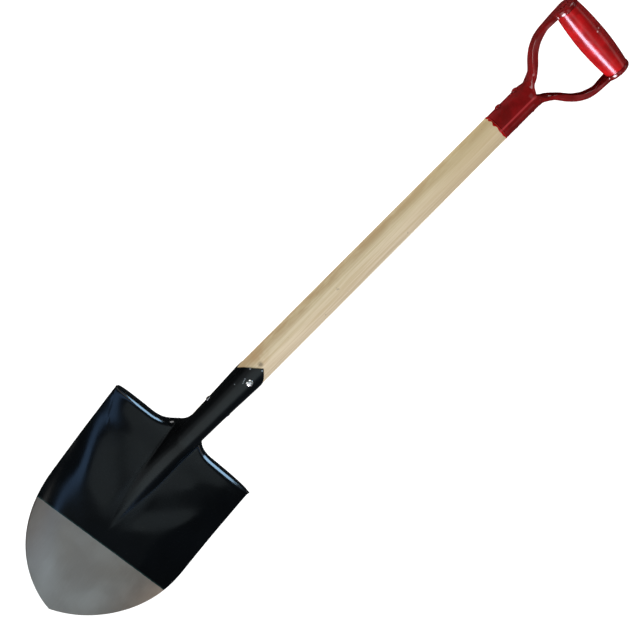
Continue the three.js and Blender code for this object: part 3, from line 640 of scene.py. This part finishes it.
def wood_material():
    """Pale sanded hardwood: long faint grain, painted shade on both sides, browner towards the grip end,
    specks, a patch of painted shade by the socket and a smudge.
    """
    n = Nodes("wood")
    x, y = n.coordinate("X"), n.coordinate("Y")
    grain = n.noise(1, 5, 0.6, n.stretched(2.6, 120, 2.6), 0.35)
    fine = n.noise(1, 3, 0.65, n.stretched(0.7, 30, 0.7))
    broad = n.noise(1, 2, 0.5, n.stretched(26, 210, 26))
    color = n.mix(n.fit(grain, 0.32, 0.7), (0.54, 0.455, 0.275), (0.66, 0.58, 0.395))
    color = n.mix(n.math("MULTIPLY", n.fit(fine, 0.5, 0.8), 0.28), color, (0.40, 0.30, 0.18))
    color = n.mix(n.math("MULTIPLY", n.fit(broad, 0.4, 0.75), 0.35), color, (0.56, 0.44, 0.27))
    # Browner, blotchy left side of the shaft: painted shade.
    blotches = n.noise(1, 3, 0.6, n.stretched(14, 55, 14))
    left = n.math("MULTIPLY", n.fit(x, -9.0, -18.5), n.fit(blotches, 0.2, 0.6))
    color = n.mix(n.math("MULTIPLY", left, 0.75), color, (0.34, 0.21, 0.085))
    # Browner right edge, more so up the shaft: painted shade.
    right = n.math("MULTIPLY", n.fit(x, 14.5, 18.0), n.fit(y, -60, 60, 0.15, 0.5))
    color = n.mix(right, color, (0.36, 0.25, 0.12))
    color = n.mix(n.fit(y, 90, 300, 0, 0.42), color, (0.50, 0.39, 0.19))
    specks = n.fit(n.noise(5.5, 1), 0.765, 0.80)
    color = n.mix(n.math("MULTIPLY", specks, 0.4), color, (0.2, 0.17, 0.13))
    # A browner patch on the left by the socket: painted shade.
    shade_patch = n.math("MULTIPLY", n.spot(*WOOD_SHADE_PATCH, 0.1), n.fit(n.noise(9, 3), 0.25, 0.65))
    color = n.mix(n.math("MULTIPLY", shade_patch, 0.5), color, (0.42, 0.25, 0.11))
    smudge = n.math("MULTIPLY", n.spot(*WOOD_SMUDGE, 0.2), n.fit(n.noise(2.5, 3), 0.2, 0.5))
    color = n.mix(n.math("MULTIPLY", smudge, 0.7), color, (0.12, 0.10, 0.06))
    n.set(Base_Color=color, Roughness=n.fit(fine, 0.3, 0.8, 0.62, 0.8), IOR=1.45)
    n.bump(n.math("ADD", grain, n.math("MULTIPLY", fine, 0.6)), 0.25, 0.0004)
    return n.material


def steel_material(name, shade, roughness):
    """Plain bright steel with a few dull patches."""
    n = Nodes(name)
    patches = n.fit(n.noise(2.2, 3), 0.35, 0.7)
    low = tuple(0.86 * c for c in shade)
    dulled = n.fit(patches, 0, 1, roughness, roughness + 0.15)
    n.set(Base_Color=n.mix(patches, shade, low), Metallic=1.0, Roughness=dulled)
    n.bump(n.noise(1.2, 2), 0.15, 0.0003)
    return n.material


# Where the black paint ends: bare steel lies where y - tilt * z is below this, in millimetres.
PAINT_LINE_Y, PAINT_LINE_TILT = -412.3, 0.409

# Small marks, painted glints and a patch of painted shade, each a point and a radius in millimetres.
PAINT_CHIPS = [
    ((-5.7, -123.8, 18.4), 0.9), ((-6.4, -121.8, 18.2), 1.0), ((-7.1, -119.8, 18.0), 0.9),
    ((-7.7, -117.9, 17.9), 0.9), ((-11, -132.5, 14.6), 1.2), ((-11.4, -104.2, 15.7), 1.4),
    ((0.4, -95.4, 19.4), 1.4),
]
# Painted glints on the grip's tube.
GRIP_GLINTS = [((-9.5, 489.0, 29.6), 1.3), ((-8.0, 484.9, 31.8), 1.5)]
GRIP_SCUFF = ((36, 486, 29), 7)
WOOD_SMUDGE = ((-6.6, -91, 17.8), 5)
# A patch of painted shade on the wood.
WOOD_SHADE_PATCH = ((-15, -86, 11), 20)

black = blade_material()
red = red_material("grip_paint")
# The same paint as the arms, 1.7 times lighter red on the tube: painted light.
bar_red_lit_copy = red_material("grip_tube_lit_paint", 1.7, 0.27)
overspill_red = red_material("grip_paint_drips", 2)
wood = wood_material()
bright_steel = steel_material("bare_steel", (0.9, 0.93, 0.92), 0.26)
dull_steel = steel_material("rivet_steel", (0.42, 0.43, 0.45), 0.35)

# ---------- pieces ----------


def add(piece, node):
    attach(piece, "root")
    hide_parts(node)


half_rows = blade_rows(60, 3)

# The pressed metal flows from the socket into the ridge without a crease, along the middle only.
near_neck = np.exp(-(((half_rows[..., 1] - NECK_Y + 4) / NECK_SMOOTH_LENGTH) ** 2))
near_neck *= 1 - smooth((half_rows[..., 0] - 7) / 8)
for _ in range(NECK_SMOOTH_PASSES):
    between = (half_rows[:-2] + half_rows[2:]) / 2
    half_rows[1:-1] = mix(half_rows[1:-1], between, 0.5 * near_neck[1:-1, :, None])

# Gentle random dents in the dish, none of them on the socket, the shoulders or the middle line.
dents = ripple(4, 16, 22, 0.5)
settled = smooth((NECK_Y - 45 - half_rows[..., 1]) / 30)
half_rows[..., 2] += settled * (dents(half_rows[..., 0], half_rows[..., 1]) - dents(0, half_rows[..., 1]))
tip_height = float(front_height(np.array(0.0), np.array(float(POINT_Y))))
point = np.array([0, POINT_Y, tip_height])
add(pressed_sheet("blade_sheet", half_rows, point, SHEET, black), "blade")

# The shaft from its lower tenon, past the socket's mouth and up to the tenon in the grip.
socket_ys = np.linspace(NECK_Y, MOUTH_Y, 12)
inside = socket_radius(socket_ys) - SHEET - TENON_GAP
profile = [(0, NECK_Y - 5), (10, NECK_Y - 5)] + list(zip(inside, socket_ys))
profile += [(WOOD_RADIUS_LOW, y) for y in np.linspace(MOUTH_Y + 0.4, MOUTH_Y + TONGUE_LENGTH + 4, 60)]
upper = np.linspace(MOUTH_Y + TONGUE_LENGTH + 8, YOKE_START_Y - GAP, 90)
taper = (upper - upper[0]) / (upper[-1] - upper[0])
profile += list(zip(mix(WOOD_RADIUS_LOW, WOOD_RADIUS_HIGH, taper), upper))
tenon = YOKE_RADIUS - YOKE_SHEET - GAP
profile += [(tenon, YOKE_START_Y - GAP), (tenon, CROTCH_Y - TENON_SHORT), (0, CROTCH_Y - TENON_SHORT)]
uneven = ripple(9, 8, 45, 0.005)


def shaft_shape(along, angle):
    """Slight unevenness of the sanded wood, and the recesses under the socket's tongues."""
    quarters = np.arctan2(np.sin(angle), np.cos(angle)) / (math.pi / 2)
    outline = MOUTH_Y + TONGUE_LENGTH * np.abs(1 - np.abs(quarters))
    under = socket_radius(along) - SHEET - 0.4
    cut = np.where(along > MOUTH_Y, 1 - smooth((along - outline - 0.2) / 0.8), 0)
    recess = cut * np.minimum(0, under / WOOD_RADIUS_LOW - 1)
    free = smooth((along - MOUTH_Y) / 30) * smooth((YOKE_START_Y - along) / 20)
    return recess + free * (uneven(along, 30 * np.cos(angle)) - 0.004)


add(turned("shaft_wood", profile, wood, "Y", 160, wobble=shaft_shape), "shaft")

front_half = socket_radius(FRONT_RIVET_Y) + GAP
back_half = front_half + 1.5
half_length, middle = (front_half + back_half) / 2, (0, FRONT_RIVET_Y, (front_half - back_half) / 2)
add(
    rivet("front_rivet", half_length, 2.6, (4.6, 2.2), (4, 1.4), bright_steel, "Z", middle),
    "socket_front_rivet",
)
bevelled = WASHER_RADIUS - 0.2
washer = [
    (WASHER_HOLE, -WASHER_HALF), (bevelled, -WASHER_HALF), (WASHER_RADIUS, -0.4),
    (WASHER_RADIUS, 0.4), (bevelled, WASHER_HALF), (WASHER_HOLE, WASHER_HALF),
]
add(
    turned("rivet_washer", washer, bright_steel, "Z", 64, (0, FRONT_RIVET_Y, -front_half - WASHER_HALF)),
    "socket_rivet_washer",
)
side_half = socket_radius(SIDE_RIVET_Y) + GAP
add(
    rivet("side_rivet", side_half, 2.4, (3.6, 1.3), (4, 1.5), dull_steel, "X", (0, SIDE_RIVET_Y, 0)),
    "socket_side_rivet",
)
add(yoke_half("yoke_half_left", -1, red), "yoke_left")
add(yoke_half("yoke_half_right", 1, red), "yoke_right")
for which, y in YOKE_RIVET_YS.items():
    add(
        rivet("yoke_pin_" + which, YOKE_RADIUS + GAP, 2.5, (3.4, 1.5), (4.6, 1.9), red, "X", (0, y, 0)),
        "yoke_rivet_" + which,
    )

belly = EAR_INNER_X - GAP
tucked = EAR_RADIUS - YOKE_SHEET - GAP
x = np.linspace(-belly, belly, 90)
swell = np.maximum(0, np.cos(x / belly * math.pi / 2)) ** 0.8
barrel = list(zip(mix(BAR_END_RADIUS, BAR_MID_RADIUS, swell), x))
outline = [(tucked - 1.4, -BAR_HALF_LENGTH), (tucked, -BAR_HALF_LENGTH), (tucked, -belly)] + barrel
outline += [(tucked, belly), (tucked, BAR_HALF_LENGTH), (tucked - 1.4, BAR_HALF_LENGTH)]
knocks = ripple(21, 10, 14, 0.004)


def bar_shape(along, angle):
    free = np.where(np.abs(along) < belly - 1, 1, 0)
    return free * (knocks(along, 20 * np.cos(angle)) - 0.005)


add(
    turned("grip_tube", outline, bar_red_lit_copy, "X", 144, (0, GRIP_Y, GRIP_FORWARD), wobble=bar_shape),
    "grip_bar",
)
add(
    rivet("grip_rod", EAR_OUTER_X + GAP, 4, (6.5, 1.2), (6.5, 1.2), red, "X", (0, GRIP_Y, GRIP_FORWARD)),
    "grip_bar_rod",
)

# Paint that ran from the grip's socket onto the wood, as a thin ragged collar.
COLLAR_POINTS = 240
angles = np.linspace(0, 2 * math.pi, COLLAR_POINTS, endpoint=False)
runs = 1.6 + 0.9 * np.sin(3 * angles + 1) + 0.8 * np.sin(7 * angles) ** 2 + 0.6 * np.sin(13 * angles + 2)
runs = runs + 2.2 * np.exp(-((angles - 5.6) / 0.16) ** 2) + 1.8 * np.exp(-((angles - 5.1) / 0.12) ** 2)
runs = np.maximum(0.5, runs)
rings = []
for share, lift in ((1, -0.1), (1, 0.06), (0.8, 0.2), (0.4, 0.24), (0, 0.24), (0, -0.1)):
    radius = WOOD_RADIUS_HIGH + lift
    y = YOKE_START_Y - 0.35 - share * runs
    rings.append(np.stack([radius * np.sin(angles), y, radius * np.cos(angles)], 1))
collar_faces = grid_faces(len(rings), COLLAR_POINTS, wrap=True)
last = (len(rings) - 1) * COLLAR_POINTS
for j in range(COLLAR_POINTS):
    k = (j + 1) % COLLAR_POINTS
    collar_faces.append((last + j, last + k, k, j))
collar = make_object("paint_collar", np.array(rings), collar_faces, overspill_red)
merge_close(collar, 1e-7)
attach(collar, "root")

# Blobs of paint where the tube meets the ears, in front.
for side, name in ((-1, "left"), (1, "right")):
    arc = np.linspace(-1.4, 1.4, 12)
    profile = [(0, -0.5)] + [(1.8 * math.cos(a), 0.5 * math.sin(a)) for a in arc] + [(0, 0.5)]
    blob = turned(
        "paint_blob_" + name, profile, red, "Z", 40, (side * 50.6, GRIP_Y - 4.5, GRIP_FORWARD + 14.9)
    )
    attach(blob, "root")

# ---------- camera: the photo's view, in the spade's own axes ----------

PIXEL = 1.2646  # millimetres to a pixel at the shaft
FRAME = 640  # width of the photo in pixels
FOCAL = 1222.0  # focal length in pixels of that frame
TILT, TURN = math.radians(6.04), math.radians(22.63)
CENTRE_ACROSS = 11.1  # how far the frame's middle lies to the side of the shaft, in pixels

along_view = Vector((0, 1, 0))
side_axis = Vector((math.cos(TURN), 0, math.sin(TURN)))
face_axis = Vector((-math.sin(TURN), 0, math.cos(TURN)))
up_shaft = math.cos(TILT) * along_view - math.sin(TILT) * face_axis
towards_camera = math.sin(TILT) * along_view + math.cos(TILT) * face_axis
right = (up_shaft + side_axis) / math.sqrt(2)
up = (up_shaft - side_axis) / math.sqrt(2)
place = (towards_camera * FOCAL + side_axis * CENTRE_ACROSS) * PIXEL + Vector(SHIFT)

camera_data = bpy.data.cameras.new("camera")
camera_data.sensor_width = 36
camera_data.lens = FOCAL / FRAME * camera_data.sensor_width
camera_data.clip_end = 2000
camera = bpy.data.objects.new("camera", camera_data)
bpy.context.scene.collection.objects.link(camera)
rotation = Matrix((right, up, towards_camera)).transposed()
camera.matrix_world = Matrix.Translation(place * MM) @ rotation.to_4x4()
bpy.context.scene.camera = camera

# ---------- floor and light ----------

FLOOR = 400  # metres from the middle to each side
corners = [(-FLOOR, -FLOOR, 0), (FLOOR, -FLOOR, 0), (FLOOR, FLOOR, 0), (-FLOOR, FLOOR, 0)]
floor_mesh = bpy.data.meshes.new("floor")
floor_mesh.from_pydata(corners, [], [(0, 1, 2, 3)])
floor = bpy.data.objects.new("floor", floor_mesh)
floor_paper = bpy.data.materials.new("floor_paper")
floor_paper.use_nodes = True
paper = floor_paper.node_tree.nodes["Principled BSDF"]
paper.inputs["Base Color"].default_value = (0.95, 0.95, 0.945, 1)
paper.inputs["Roughness"].default_value = 0.95
floor.data.materials.append(floor_paper)
floor.visible_glossy = False
bpy.context.scene.collection.objects.link(floor)

world = bpy.data.worlds.new("studio")
bpy.context.scene.world = world
world.use_nodes = True
background = world.node_tree.nodes["Background"]
background.inputs["Color"].default_value = (0.85, 0.95, 1, 1)
background.inputs["Strength"].default_value = 0.035

LIGHT_DISTANCE = 6  # metres


def collection_of(name, pieces):
    collection = bpy.data.collections.new(name)
    for piece in pieces:
        collection.objects.link(piece)
    return collection


def softbox(name, direction, wide, tall, radiance, color=(1, 1, 1), shines_on=()):
    """A far area light in a direction, with its angular size in degrees and an even brightness.

    With shines_on, it lights and shows in those pieces alone.
    """
    direction = Vector(direction).normalized()
    data = bpy.data.lights.new(name, "AREA")
    data.shape = "RECTANGLE"
    data.size = 2 * LIGHT_DISTANCE * math.tan(math.radians(wide / 2))
    data.size_y = 2 * LIGHT_DISTANCE * math.tan(math.radians(tall / 2))
    data.energy = radiance * data.size * data.size_y * math.pi
    data.color = color
    light = bpy.data.objects.new(name, data)
    light.location = direction * LIGHT_DISTANCE
    across = Vector((0, 1, 0) if direction.z > 0.8 else (0, 0, 1)).cross(direction).normalized()
    light.rotation_euler = Matrix((across, direction.cross(across), direction)).transposed().to_euler()
    bpy.context.scene.collection.objects.link(light)
    if shines_on:
        light.light_linking.receiver_collection = collection_of(name + "_shines_on", shines_on)


sheet = bpy.data.objects["blade_sheet"]
tube = bpy.data.objects["grip_tube"]
others = [o for o in bpy.context.scene.objects if o.type == "MESH" and o not in (sheet, floor)]
not_tube = [o for o in others if o is not tube]

# Placed so that the paint reflects about what it does in the photo. Each has its name, its direction,
# its width and height in degrees, its brightness, its colour and the pieces that it shines on.
softbox("key", (0.38, -0.74, 0.56), 15, 24, 32, (0.98, 0.9, 1), not_tube)
softbox("tube_streak", (0.38, -0.74, 0.56), 46, 20, 26, (0.95, 0.78, 1), [tube])
softbox("overhead", (0.10, -0.12, 0.98), 56, 16, 0.75, (0.78, 0.95, 1))
softbox("ridge", (0.05, -0.42, 0.90), 70, 24, 0.7, (0.85, 0.97, 1), [sheet])
softbox("left_side", (-0.70, -0.14, 0.70), 34, 40, 0.28, (0.85, 0.95, 1), [sheet])
softbox("plate_high", (0.38, 0.04, 0.92), 30, 14, 0.34, (0.8, 0.95, 1))
softbox("plate_low", (0.38, 0.32, 0.87), 34, 22, 0.05, (0.8, 0.95, 1))
softbox("plate_tip", (0.60, 0.70, 0.48), 70, 14, 0.85, (1, 0.98, 0.95))
softbox("shoulder_strip", (0.38, 0.86, 0.32), 26, 40, 15, (0.42, 0.7, 1), [sheet])
softbox("window_side", (0.67, 0.22, 0.70), 38, 6, 1.3, (0.3, 0.55, 1), [sheet])
softbox("fill_back", (-0.6, 0.7, 0.42), 34, 28, 4.6)
softbox("front_low", (0.1, -0.93, 0.35), 60, 20, 1.5, (1, 1, 1), [sheet])
softbox("fill_front", (-0.6, -0.66, 0.46), 34, 28, 4.2, (1, 1, 1), others)

# An even light for the floor alone, which keeps it white far out. Nothing throws a shadow in it.
wash_data = bpy.data.lights.new("floor_wash", "SUN")
wash_data.energy = 3.6
wash = bpy.data.objects.new("floor_wash", wash_data)
bpy.context.scene.collection.objects.link(wash)
wash.light_linking.receiver_collection = collection_of("floor_wash_shines_on", [floor])
wash.light_linking.blocker_collection = collection_of("floor_wash_blockers", [floor])

bpy.context.scene.view_settings.view_transform = "Standard"

bpy.context.view_layer.update()
